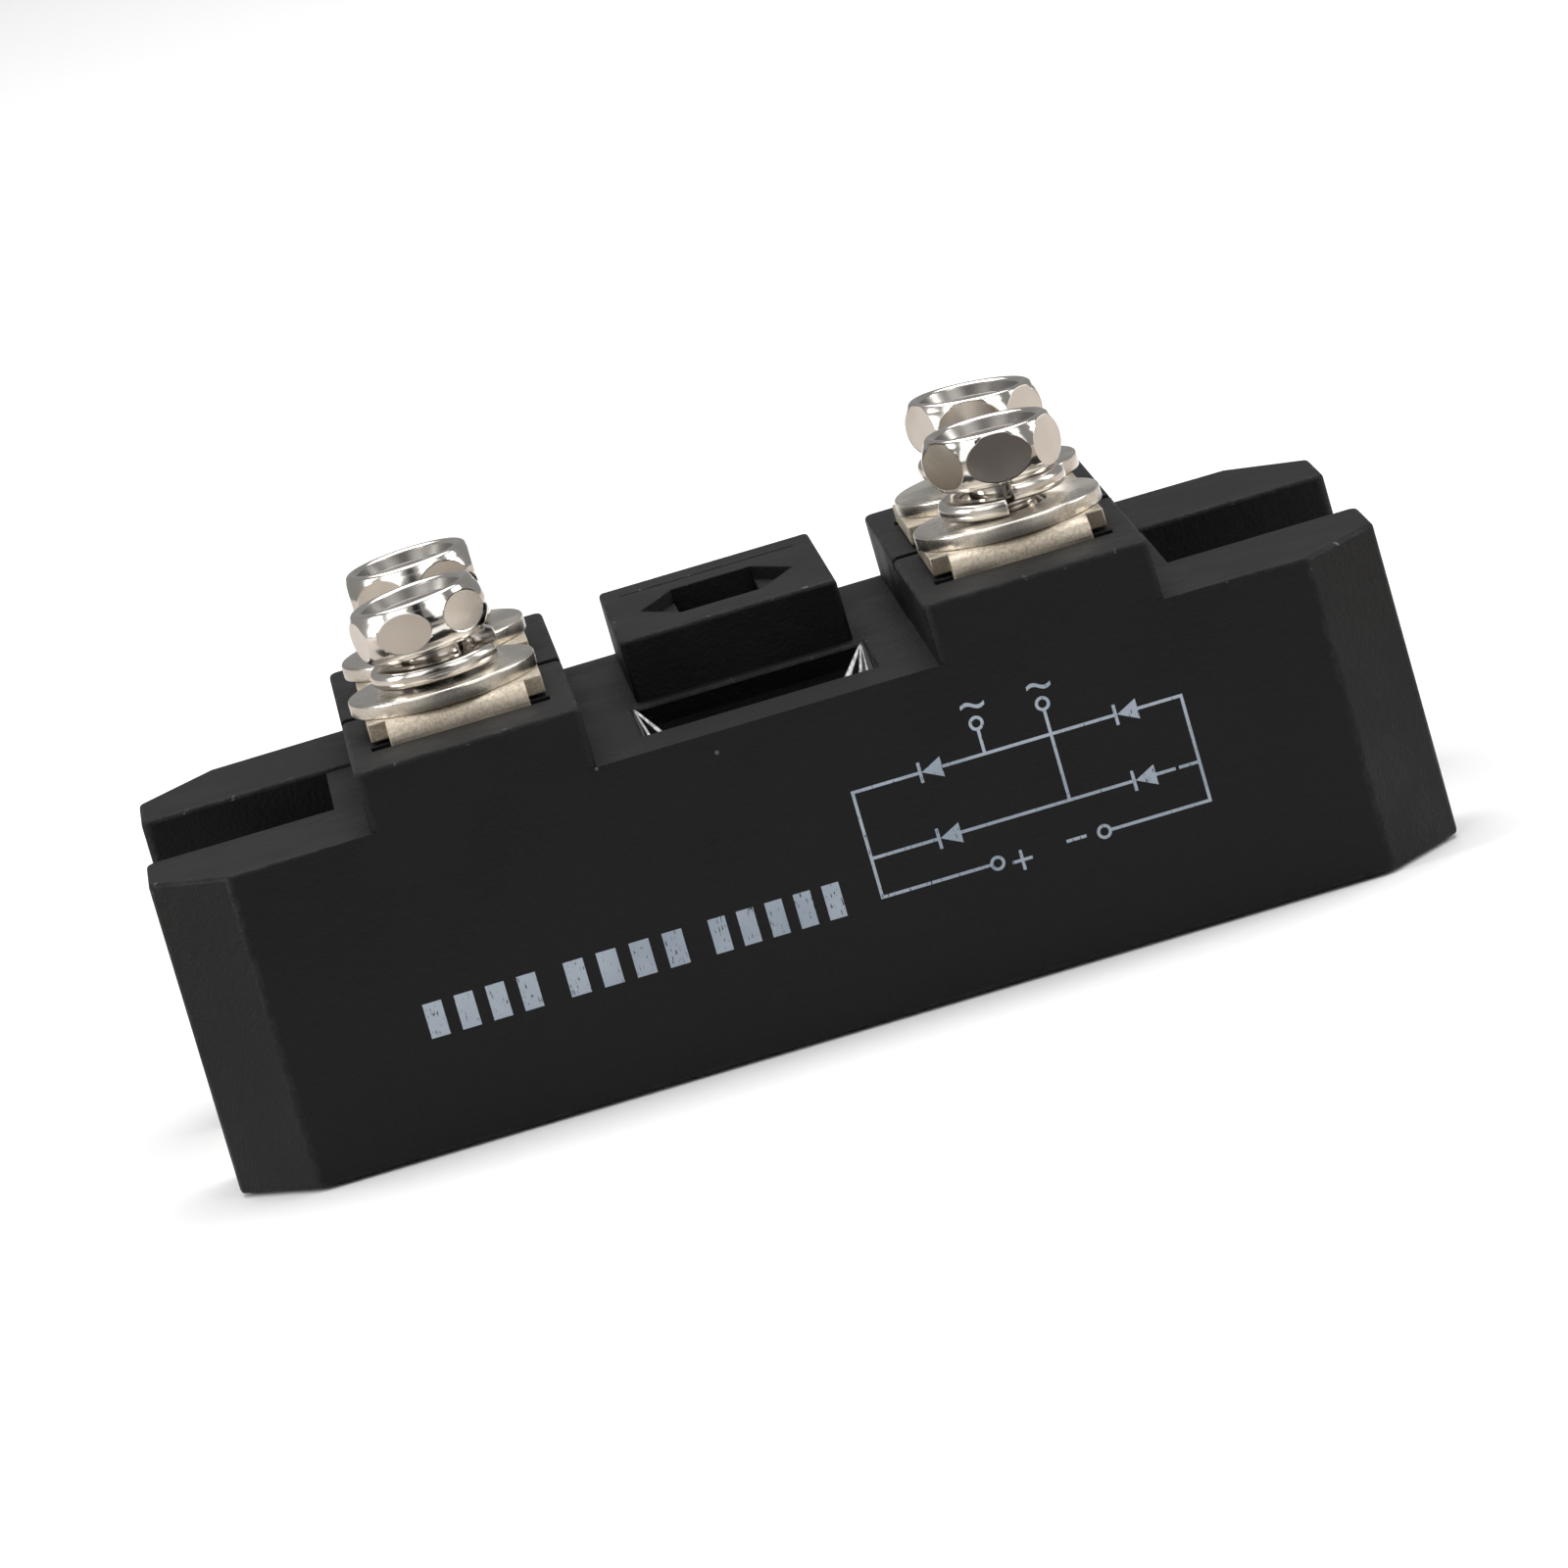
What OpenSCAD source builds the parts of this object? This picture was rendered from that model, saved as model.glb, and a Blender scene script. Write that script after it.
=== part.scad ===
// Bridge rectifier module: a moulded case on a plated base plate, with four
// screw terminals on two towers and the rectifier itself sealed inside.
// Millimetres. +X runs along the case, the printed side faces -Y, +Z is up.
// The origin is the middle of the base plate's underside.

/* [Case] */
// Length of the case
case_l = 80; // [78:1:92]
// Depth of the case, printed side to rear
case_w = 40; // [39:1:46]
// Height of the end horns and of the shelf between the towers
case_h = 20.9; // [20.5:0.1:24]
// Corner cut, measured along the length
corner_x = 5; // [3:0.5:7]
// Corner cut, measured along the depth
corner_y = 5.25; // [3:0.25:7]
// Outer wall
wall_t = 3.2; // [2.6:0.1:3.6]
// Wall that surrounds the edge of the base plate
skirt_t = 1.6; // [1.2:0.1:2]
// Ribs and walls inside the case
rib_t = 2; // [1.6:0.1:2.4]
// Roof under the shelf and the horns
roof_t = 2; // [1.6:0.1:2.6]
// Height of the case's lower edge above the base plate's underside
skirt_lift = 0.2; // [0.1:0.05:0.6]
// Radius on the upright edges of the towers and of the channels' mouths
edge_r = 0.6; // [0.3:0.1:1]
// Wall under the holes for the screws' tips
floor_t = 1.6; // [1.2:0.1:2]

/* [Towers] */
// Height of the terminal towers above the shelf
tower_rise = 3.9; // [3.6:0.1:6]
// Distance from the middle of the case to a tower
tower_in = 11.1; // [10.6:0.1:12]
// Length of a tower
tower_l = 14.6; // [14.2:0.1:16]
// Width of the groove between a tower's two terminals
groove_w = 1.3; // [0.8:0.1:1.6]
// Depth of that groove
groove_d = 0.8; // [0.4:0.1:1.6]

/* [End channels] */
// Width of the open channel at each end
channel_w = 15.2; // [12:0.2:16]
// Shelf left between a tower and its channel
strip_w = 1.9; // [1.2:0.1:3]
// How far that bit of shelf is sunk
strip_sink = 0.3; // [0.1:0.1:0.6]

/* [Middle] */
// Length of the middle block
block_l = 14.4; // [12.4:0.2:16]
// Front face of the block, from the centre line
block_front = 2.1; // [1:0.1:2.6]
// Rear face of the block, from the centre line
block_back = 18.8; // [17.4:0.1:19.2]
// Height of the block above the shelf
block_rise = 4.1; // [3.6:0.1:6]
// Length of the six-sided recess in the block
recess_l = 10.3; // [8:0.1:11]
// Width of that recess
recess_w = 9.8; // [8:0.1:11]
// Length of the recess's straight sides, and of the well in it
well_l = 5.4; // [4:0.1:7]
// Depth of the recess
recess_d = 0.9; // [0.5:0.1:1.5]
// Depth of the well
well_d = 3.6; // [2:0.1:5]
// How far the recess lies in front of the block's middle
recess_shift = 1; // [0:0.1:2]
// Distance from the block's rear face to the slit behind the recess
slit_in = 3.15; // [2.6:0.05:3.4]
// Block left beyond each end of the slit
slit_end = 1.3; // [0.8:0.1:3]
// Width and depth of the slit
slit_w = 0.5; // [0.3:0.1:0.7]
// Step from the front of the shelf down to its rear
shelf_step = 0.2; // [0.1:0.05:0.4]
// Length of the filling window
window_l = 15.3; // [12:0.1:16]
// Width of the filling window
window_w = 10.6; // [8:0.1:11]
// Shelf left between the window and the block
window_gap = 1.3; // [0.8:0.1:2]

/* [Base plate] */
// Thickness of the base plate
plate_t = 3; // [2:0.1:4]
// Gap between the plate's edge and the case
plate_gap = 0.1; // [0.05:0.05:0.3]
// Diameter of the two mounting holes
mount_d = 5.5; // [4.5:0.1:6.6]
// Distance from the end of the case to the middle of a mounting hole
mount_in = 6.5; // [5.5:0.25:7]

/* [Screws] */
// Thread diameter of the terminal screws
screw_d = 5; // [4:0.5:5]
// Length of a screw under its head
screw_l = 12; // [11:0.5:13]
// Width across the flats of the heads and nuts
hex_af = 8; // [7:0.1:8.4]
// Bevel at a screw's tip
tip_bevel = 0.5; // [0.3:0.1:0.8]
// Height of a screw head
head_h = 3.5; // [3:0.1:4.2]
// Diameter of a head round its bulging side
head_d = 8.9; // [8.6:0.1:9.2]
// Radius of that bulge
head_round = 2.4; // [2.2:0.1:3]
// Height at which a head is widest
head_belly = 1.7; // [1.4:0.1:1.9]
// Diameter of the dish in a head's top
dish_d = 6.2; // [5.6:0.1:6.4]
// Depth of the dish
dish_h = 0.5; // [0.3:0.1:0.8]
// Span of the cross recess at the top of a head
cross_l = 5.2; // [4.4:0.1:5.4]
// Span of the cross recess at its foot
cross_foot = 1.6; // [1:0.1:2]
// Width of the cross's arms
cross_w = 0.9; // [0.7:0.1:1.2]
// Depth of the cross below the top of a head
cross_h = 2.2; // [1.6:0.1:2.4]
// Height of a nut
nut_h = 4; // [3.2:0.1:4.2]
// Height of the bevel on a nut's corners
nut_bevel = 0.4; // [0.2:0.1:0.8]
// Room round a screw in its nut
thread_gap = 0.05; // [0.02:0.01:0.1]
// Room round a screw in its washers
washer_gap = 0.15; // [0.05:0.05:0.3]
// Room round a screw in its terminal strip
lug_gap = 0.25; // [0.1:0.05:0.4]
// Room round a nut in its pocket
nut_gap = 0.1; // [0.05:0.05:0.3]
// How far a nut stands out of its pocket
nut_proud = 0.2; // [0.1:0.05:0.5]
// Outside diameter of the flat washers
washer_d = 12.2; // [10:0.1:12.4]
// Thickness of the flat washers
washer_t = 1; // [0.8:0.1:1.4]
// Bevel on a flat washer's rim
washer_bevel = 0.12; // [0.05:0.01:0.2]
// Outside diameter of the spring washers
spring_d = 8.4; // [8:0.1:9.4]
// Thickness of the spring washers' wire
spring_t = 1.2; // [1:0.1:1.4]

/* [Terminals] */
// Distance of the screws from the centre line
screw_y = 7.4; // [6.8:0.1:7.8]
// Thickness of the terminal strips
strap_t = 1.2; // [0.8:0.1:1.4]
// Width of the clamped end of a strip
lug_w = 11.4; // [10:0.1:12]
// Length of the clamped end on the inner side of the screw
lug_in = 5.6; // [5:0.1:6]
// Length of the clamped end on the outer side of the screw
lug_out = 4.8; // [4.4:0.1:5]
// Width of the leg that goes down into the case
leg_w = 9.1; // [7:0.1:9.6]
// Distance from the screw to the leg's outer face
leg_out = 6.4; // [6.2:0.1:6.8]
// Length of the soldered foot
foot_l = 4; // [3:0.1:5]
// Room round a leg in its slot, across its thickness
slot_gap = 0.2; // [0.1:0.05:0.3]
// Room beside a leg in its slot
slot_side = 1.25; // [0.5:0.05:1.5]

/* [Inside] */
// Room between the ceramic tile and the case walls round it
tile_room = 0.6; // [0.3:0.1:1.2]
// Thickness of the ceramic tile
tile_t = 0.7; // [0.4:0.1:1]
// Thickness of the copper on either face of the tile
copper_t = 0.3; // [0.2:0.05:0.5]
// Gap between neighbouring copper pads
pad_gap = 1.5; // [1:0.1:2]
// Distance from the tile's edge to the copper
pad_edge = 0.75; // [0.5:0.05:1.5]
// Right edge of the two left-hand pads
pad_split = 2; // [1.5:0.1:3]
// Side of a diode chip
chip_l = 6.4; // [5:0.1:6.6]
// Thickness of a diode chip
chip_t = 0.6; // [0.3:0.05:0.8]
// Distance from the centre line to a row of chips
chip_y = 5; // [4.6:0.1:5.6]
// Middle of the inner pair of chips, left of the centre
chip_in = 2.4; // [2:0.1:2.8]
// Middle of the outer pair of chips, left of the centre
chip_out = 10; // [9.6:0.1:10.4]
// Width of the copper straps over the chips
bridge_w = 3.6; // [2.5:0.1:4.5]
// Thickness of those straps
bridge_t = 0.8; // [0.5:0.1:1.2]
// Chip and pad left bare beside a strap's ends
bridge_edge = 0.6; // [0.3:0.1:1]
// Height of the soft gel above the base plate's underside
gel_top = 9; // [8.2:0.1:10]
// How far the hard resin stands up in the window
resin_rise = 0.5; // [0.2:0.1:1]
// Room round a leg in the gel and the resin
fill_gap = 0.05; // [0.02:0.01:0.1]

/* [Hidden] */
$fn = 64;

LEFT = -1;
RIGHT = 1;
FRONT = -1;
REAR = 1;

// Room under a screw's tip, and the extra width of its hole
tip_room = 1;

// Heights, from the base plate up
tile_z = plate_t + copper_t;
pad_z = tile_z + tile_t;
chip_z = pad_z + copper_t;
bridge_z = chip_z + chip_t;
roof_z = case_h - roof_t;
tower_z = case_h + tower_rise;
block_z = case_h + block_rise;
lug_z = tower_z + nut_proud;
washer_z = lug_z + strap_t;
spring_z = washer_z + washer_t;
spring_h = 2 * spring_t;
head_z = spring_z + spring_h;
tip_z = head_z - screw_l;
core_z = tip_z - tip_room - floor_t;
nut_z = lug_z - nut_h;

// Places along the length
tower_x = tower_in + tower_l / 2;
channel_x = tower_in + tower_l + strip_w;
core_x = channel_x - rib_t;
middle_x = tower_in - rib_t;
mount_x = case_l / 2 - mount_in;
tile_l = 2 * (core_x - tile_room);

// Places along the depth
core_y = case_w / 2 - wall_t;
tile_w = 2 * (core_y - tile_room);
window_y = block_front + window_gap + window_w / 2;
recess_y = (block_back - block_front) / 2 - recess_shift;

// Overshoot of a cutting shape
over = 1;

// ---------------------------------------------------------------- helpers

// Stands the children at one of the four screws.
module at_screw(side_x, side_y) {
  translate([side_x * tower_x, side_y * screw_y, 0])
    children();
}

// Stands a part whose leg points forward at one of the four screws.
module at_terminal(side_x, side_y) {
  at_screw(side_x, side_y)
    rotate(side_y == REAR ? 180 : 0)
      children();
}

// A box with its middle on the Z axis and its foot at z.
module post(size, z) {
  translate([-size[0] / 2, -size[1] / 2, z])
    cube(size);
}

// Plan of the case, drawn in from its outside by an inset.
module case_plan(inset) {
  half_l = case_l / 2 - inset;
  half_w = case_w / 2 - inset;
  cut_x = corner_x - inset * (2 - sqrt(2));
  cut_y = corner_y - inset * (2 - sqrt(2));
  polygon([
    [-half_l + cut_x, -half_w],
    [half_l - cut_x, -half_w],
    [half_l, -half_w + cut_y],
    [half_l, half_w - cut_y],
    [half_l - cut_x, half_w],
    [-half_l + cut_x, half_w],
    [-half_l, half_w - cut_y],
    [-half_l, -half_w + cut_y]
  ]);
}

// A rectangle with round corners, made of squares and true circles.
module round_rect(size, r) {
  square([size[0] - 2 * r, size[1]], center = true);
  square([size[0], size[1] - 2 * r], center = true);
  for (sx = [-1, 1], sy = [-1, 1])
    translate([sx * (size[0] / 2 - r), sy * (size[1] / 2 - r)])
      circle(r);
}

// A hexagon prism with a given distance across its flats.
module hexagon(across, height) {
  cylinder(d = across / cos(30), h = height, $fn = 6);
}

// ---------------------------------------------------------------- case

module tower(side) {
  translate([side * tower_x, 0, roof_z])
    linear_extrude(tower_z - roof_z)
      round_rect([tower_l, case_w], edge_r);
}

module middle_block() {
  translate([0, -block_front + (block_back + block_front) / 2, roof_z])
    linear_extrude(block_z - roof_z)
      round_rect([block_l, block_back + block_front], edge_r / 2);
}

// The six-sided recess, the well in it and the thin slit behind it.
module block_cuts() {
  translate([0, recess_y, block_z - recess_d])
    linear_extrude(recess_d + over)
      polygon([
        [-recess_l / 2, 0],
        [-well_l / 2, -recess_w / 2],
        [well_l / 2, -recess_w / 2],
        [recess_l / 2, 0],
        [well_l / 2, recess_w / 2],
        [-well_l / 2, recess_w / 2]
      ]);
  translate([0, recess_y, 0])
    post([well_l, recess_w, well_d + over], block_z - well_d);
  translate([0, block_back - slit_in - slit_w / 2, 0])
    post([block_l - 2 * slit_end, slit_w, slit_w + over], block_z - slit_w);
}

// The open channel at one end, with round edges at its mouth.
module channel(side) {
  translate([0, 0, -over])
    linear_extrude(case_h + 2 * over) {
      translate([side * (channel_x + case_l / 2), 0])
        square([case_l, channel_w], center = true);
      for (side_y = [FRONT, REAR])
        translate([side * (case_l / 2 - edge_r), side_y * (channel_w / 2 + edge_r)])
          scale([side, -side_y])
            difference() {
              square(edge_r + over);
              circle(edge_r);
            }
    }
}

// What the towers are cut for: the groove, nut pockets, tips and leg slots.
module tower_cuts(side) {
  translate([side * tower_x, 0, 0])
    post([tower_l + over, groove_w, groove_d + over], tower_z - groove_d);
  for (side_y = [FRONT, REAR])
    at_terminal(side, side_y) {
      translate([0, 0, nut_z])
        hexagon(hex_af + 2 * nut_gap, nut_h + over);
      translate([0, 0, tip_z - tip_room])
        cylinder(d = screw_d + tip_room, h = screw_l);
      translate([0, -leg_out + strap_t / 2, 0])
        post([leg_w + 2 * slot_side, strap_t + 2 * slot_gap, tower_z], core_z - over);
    }
}

// The hollow that holds the rectifier, from the plate up to a height.
module core_room(half_x, from_z, to_z) {
  post([2 * half_x, 2 * core_y, to_z - from_z], from_z);
}

// The blind pocket that keeps a horn's walls even.
module horn_room(side_x, side_y) {
  near_y = channel_w / 2 + rib_t;
  translate([0, 0, plate_t])
    linear_extrude(roof_z - plate_t)
      intersection() {
        case_plan(wall_t);
        scale([side_x, side_y])
          translate([channel_x, near_y])
            square([case_l, case_w]);
      }
}

module housing() {
  color("#26262a")
    difference() {
      union() {
        translate([0, 0, skirt_lift])
          linear_extrude(case_h - skirt_lift)
            case_plan(0);
        tower(LEFT);
        tower(RIGHT);
        middle_block();
      }
      linear_extrude(plate_t)
        case_plan(skirt_t);
      core_room(core_x, plate_t - over, core_z);
      core_room(middle_x, plate_t, roof_z);
      translate([0, -window_y, 0])
        post([window_l, window_w, roof_t + 2 * over], roof_z - over);
      for (side = [LEFT, RIGHT]) {
        channel(side);
        translate([side * (channel_x - strip_w / 2), 0, 0])
          post([strip_w, channel_w, strip_sink + over], case_h - strip_sink);
        translate([side * (tower_in + block_l / 2) / 2, case_w / 4, 0])
          post([tower_in - block_l / 2, case_w / 2 + over, shelf_step + over], case_h - shelf_step);
        for (side_y = [FRONT, REAR])
          horn_room(side, side_y);
        tower_cuts(side);
      }
      block_cuts();
    }
}

module base_plate() {
  color("#b9b4a8")
    difference() {
      linear_extrude(plate_t)
        case_plan(skirt_t + plate_gap);
      for (side = [LEFT, RIGHT])
        translate([side * mount_x, 0, -over])
          cylinder(d = mount_d, h = plate_t + 2 * over);
    }
}

// ---------------------------------------------------------------- inside

module tile_backing() {
  color("#b87333")
    post([tile_l - 2 * pad_edge, tile_w - 2 * pad_edge, copper_t], plate_t);
}

module ceramic_tile() {
  color("#e8e6df")
    post([tile_l, tile_w, tile_t], tile_z);
}

// A copper pad that fills one quarter of the tile.
module pad(side_x, side_y) {
  inner = side_x == LEFT ? pad_split - pad_gap / 2 : -pad_split - pad_gap / 2;
  length = tile_l / 2 - pad_edge + inner;
  width = tile_w / 2 - pad_edge - pad_gap / 2;
  color("#b87333")
    translate([
      side_x * (tile_l / 2 - pad_edge - length / 2),
      side_y * (pad_gap / 2 + width / 2),
      0
    ])
      post([length, width, copper_t], pad_z);
}

module diode_chip(chip_x, side_y) {
  color("#5a5f66")
    translate([-chip_x, side_y * chip_y, 0])
      post([chip_l, chip_l, chip_t], chip_z);
}

// A strap that joins two chips and reaches over to a pad on the right.
module bridge(chip_x, side_y) {
  arm_y = tile_w / 2 - pad_edge - bridge_edge - bridge_w / 2;
  tail_y = chip_y + chip_l / 2 - bridge_edge;
  end_x = pad_split + pad_gap / 2 + bridge_w;
  color("#c77a45") {
    translate([-chip_x - bridge_w / 2, min(-tail_y, side_y * arm_y), bridge_z])
      cube([bridge_w, arm_y + tail_y, bridge_t]);
    translate([-chip_x - bridge_w / 2, side_y * arm_y - bridge_w / 2, bridge_z])
      cube([chip_x + bridge_w / 2 + end_x, bridge_w, bridge_t]);
    translate([end_x - bridge_w / 2, side_y * arm_y - bridge_w / 2, chip_z])
      cube([bridge_w / 2, bridge_w, chip_t]);
  }
}

// What the gel and the resin leave free round a terminal's leg and foot.
module leg_room(side_x, side_y, from_z) {
  room_w = leg_w + 2 * fill_gap;
  at_terminal(side_x, side_y) {
    translate([-room_w / 2, -leg_out - fill_gap, from_z])
      cube([room_w, strap_t + 2 * fill_gap, tower_z]);
    translate([-room_w / 2, -leg_out - fill_gap, from_z])
      cube([room_w, strap_t + foot_l + 2 * fill_gap, chip_z + strap_t + fill_gap - from_z]);
  }
}

module silicone_gel() {
  color("#d8dde0")
    difference() {
      core_room(core_x, plate_t, gel_top);
      tile_backing();
      ceramic_tile();
      for (side_x = [LEFT, RIGHT], side_y = [FRONT, REAR]) {
        pad(side_x, side_y);
        leg_room(side_x, side_y, chip_z);
      }
      for (chip_x = [chip_in, chip_out], side_y = [FRONT, REAR])
        diode_chip(chip_x, side_y);
      bridge(chip_out, FRONT);
      bridge(chip_in, REAR);
    }
}

module potting_resin() {
  color("#101012")
    difference() {
      union() {
        core_room(core_x, gel_top, core_z);
        core_room(middle_x, gel_top, roof_z);
        translate([0, -window_y, 0])
          post([window_l, window_w, roof_z - gel_top + resin_rise], gel_top);
      }
      for (side_x = [LEFT, RIGHT], side_y = [FRONT, REAR])
        leg_room(side_x, side_y, gel_top - over);
    }
}

// ---------------------------------------------------------------- terminals

// A quarter round along X, as thick as the strip, for its bends.
module bend(turn) {
  rotate([turn, 0, 0])
    translate([-leg_w / 2, 0, 0])
      rotate([90, 0, 90])
        intersection() {
          cylinder(r = strap_t, h = leg_w);
          translate([-strap_t, 0, 0])
            cube([strap_t, strap_t, leg_w]);
        }
}

module terminal(side_x, side_y) {
  leg_in = leg_out - strap_t;
  color("#c9c2b4")
    at_terminal(side_x, side_y) {
      difference() {
        union() {
          translate([-lug_w / 2, -lug_out, lug_z])
            cube([lug_w, lug_out + lug_in, strap_t]);
          translate([-leg_w / 2, -leg_in, lug_z])
            cube([leg_w, leg_in, strap_t]);
        }
        translate([0, 0, lug_z - over])
          cylinder(d = screw_d + 2 * lug_gap, h = strap_t + 2 * over);
      }
      translate([0, -leg_in, lug_z])
        bend(0);
      translate([-leg_w / 2, -leg_out, chip_z + strap_t])
        cube([leg_w, strap_t, lug_z - chip_z - strap_t]);
      translate([0, -leg_in, chip_z + strap_t])
        bend(90);
      translate([-leg_w / 2, -leg_in, chip_z])
        cube([leg_w, foot_l, strap_t]);
    }
}

// A hexagon nut, its corners cut back by a 30 degree cone at both ends.
module terminal_nut(side_x, side_y) {
  hole_r = screw_d / 2 + thread_gap;
  corner_r = hex_af / 2 / cos(30);
  face_r = corner_r - nut_bevel / tan(30);
  color("#d4cfc6")
    at_terminal(side_x, side_y)
      translate([0, 0, nut_z])
        intersection() {
          hexagon(hex_af, nut_h);
          rotate_extrude()
            polygon([
              [hole_r, 0],
              [face_r, 0],
              [corner_r, nut_bevel],
              [corner_r, nut_h - nut_bevel],
              [face_r, nut_h],
              [hole_r, nut_h]
            ]);
        }
}

module flat_washer(side_x, side_y) {
  hole_r = screw_d / 2 + washer_gap;
  rim_r = washer_d / 2;
  color("#d4cfc6")
    at_screw(side_x, side_y)
      translate([0, 0, washer_z])
        rotate_extrude()
          polygon([
            [hole_r, 0],
            [rim_r - washer_bevel, 0],
            [rim_r, washer_bevel],
            [rim_r, washer_t - washer_bevel],
            [rim_r - washer_bevel, washer_t],
            [hole_r, washer_t]
          ]);
}

// One turn of flat wire, split at a given angle and falling to the right of it.
module spring_washer(side_x, side_y, split_at) {
  steps = 40;
  split = 8;
  inner_r = screw_d / 2 + washer_gap;
  outer_r = spring_d / 2;
  turn = 360 - split;
  drop = spring_h - spring_t;
  ring = [
    for (i = [0 : steps])
      let (a = split_at + split / 2 + turn * i / steps, z = drop * (1 - i / steps))
        each [
          [inner_r * cos(a), inner_r * sin(a), z],
          [outer_r * cos(a), outer_r * sin(a), z],
          [outer_r * cos(a), outer_r * sin(a), z + spring_t],
          [inner_r * cos(a), inner_r * sin(a), z + spring_t]
        ]
  ];
  sides = [
    for (i = [0 : steps - 1], j = [0 : 3])
      let (k = (j + 1) % 4, p = 4 * i)
        each [
          [p + j, p + k, p + 4 + k],
          [p + j, p + 4 + k, p + 4 + j]
        ]
  ];
  last = 4 * steps;
  ends = [[3, 2, 1, 0], [last, last + 1, last + 2, last + 3]];
  color("#cfc9bf")
    at_screw(side_x, side_y)
      translate([0, 0, spring_z])
        polyhedron(ring, concat(sides, ends));
}

// Half the outline of a barrel-shaped head, cut flat at its foot and its top.
module head_outline() {
  core_r = head_d / 2 - head_round;
  intersection() {
    square([head_d, head_h]);
    union() {
      square([core_r, head_h]);
      translate([core_r, head_belly])
        circle(head_round);
    }
  }
}

// The cross recess, narrower at its foot.
module head_cross() {
  intersection() {
    translate([0, 0, head_h - cross_h])
      cylinder(d1 = cross_foot, d2 = cross_l, h = cross_h);
    union() {
      post([cross_l, cross_w, head_h], head_h - cross_h);
      post([cross_w, cross_l, head_h], head_h - cross_h);
    }
  }
}

// A barrel head with six flats, a dished top and a cross recess, on a plain shank.
module terminal_screw(side_x, side_y, turned) {
  color("#d9d5cc")
    at_screw(side_x, side_y)
      rotate(turned) {
        translate([0, 0, head_z])
          difference() {
            intersection() {
              hexagon(hex_af, head_h);
              rotate_extrude()
                head_outline();
            }
            translate([0, 0, head_h - dish_h])
              cylinder(d1 = dish_d - 2 * dish_h, d2 = dish_d, h = dish_h);
            head_cross();
          }
        translate([0, 0, tip_z])
          rotate_extrude()
            polygon([
              [0, 0],
              [screw_d / 2 - tip_bevel, 0],
              [screw_d / 2, tip_bevel],
              [screw_d / 2, screw_l],
              [0, screw_l]
            ]);
      }
}

// ---------------------------------------------------------------- the part

housing();
base_plate();
tile_backing();
ceramic_tile();
pad(LEFT, FRONT);  // pad_positive
pad(LEFT, REAR);  // pad_negative
pad(RIGHT, FRONT);  // pad_ac_1
pad(RIGHT, REAR);  // pad_ac_2
diode_chip(chip_out, FRONT);  // diode_chip_1
diode_chip(chip_in, FRONT);  // diode_chip_2
diode_chip(chip_out, REAR);  // diode_chip_3
diode_chip(chip_in, REAR);  // diode_chip_4
bridge(chip_out, FRONT);  // bridge_ac_1
bridge(chip_in, REAR);  // bridge_ac_2
silicone_gel();
potting_resin();
terminal(LEFT, FRONT);  // terminal_positive
terminal(LEFT, REAR);  // terminal_negative
terminal(RIGHT, FRONT);  // terminal_ac_1
terminal(RIGHT, REAR);  // terminal_ac_2
terminal_nut(LEFT, FRONT);  // terminal_nut_1
terminal_nut(LEFT, REAR);  // terminal_nut_2
terminal_nut(RIGHT, FRONT);  // terminal_nut_3
terminal_nut(RIGHT, REAR);  // terminal_nut_4
flat_washer(LEFT, FRONT);  // flat_washer_1
flat_washer(LEFT, REAR);  // flat_washer_2
flat_washer(RIGHT, FRONT);  // flat_washer_3
flat_washer(RIGHT, REAR);  // flat_washer_4
spring_washer(LEFT, FRONT, 150);  // spring_washer_1
spring_washer(LEFT, REAR, 20);  // spring_washer_2
spring_washer(RIGHT, FRONT, 272);  // spring_washer_3
spring_washer(RIGHT, REAR, 70);  // spring_washer_4
terminal_screw(LEFT, FRONT, 44);  // terminal_screw_1
terminal_screw(LEFT, REAR, 28);  // terminal_screw_2
terminal_screw(RIGHT, FRONT, 1);  // terminal_screw_3
terminal_screw(RIGHT, REAR, 52);  // terminal_screw_4
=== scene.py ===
"""Bridge rectifier module: a black moulded case on a plated base plate, with four
screw terminals and a resin-filled window. Metres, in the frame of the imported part:
+X runs along the case, the printed side faces -Y and +Z is up."""
import math
from collections import namedtuple

import bmesh
import bpy
from mathutils import Matrix, Vector


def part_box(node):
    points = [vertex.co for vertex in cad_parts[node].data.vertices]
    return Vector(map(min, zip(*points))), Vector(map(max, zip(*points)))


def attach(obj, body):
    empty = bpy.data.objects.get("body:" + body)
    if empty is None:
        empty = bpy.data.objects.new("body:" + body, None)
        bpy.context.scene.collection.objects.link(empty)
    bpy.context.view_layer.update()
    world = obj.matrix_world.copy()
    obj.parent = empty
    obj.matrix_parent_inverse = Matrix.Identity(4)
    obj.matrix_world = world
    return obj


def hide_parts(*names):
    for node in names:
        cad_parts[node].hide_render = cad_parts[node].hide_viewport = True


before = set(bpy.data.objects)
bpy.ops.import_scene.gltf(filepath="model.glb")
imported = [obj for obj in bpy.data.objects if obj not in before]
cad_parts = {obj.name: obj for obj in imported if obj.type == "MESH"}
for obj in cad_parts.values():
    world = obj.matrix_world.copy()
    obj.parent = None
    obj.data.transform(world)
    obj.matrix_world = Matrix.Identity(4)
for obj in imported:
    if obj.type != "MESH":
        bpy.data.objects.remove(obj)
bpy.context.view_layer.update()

MM = 0.001
LEFT, RIGHT = -1, 1
TERMINALS = ("positive", "negative", "ac_1", "ac_2")

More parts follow.
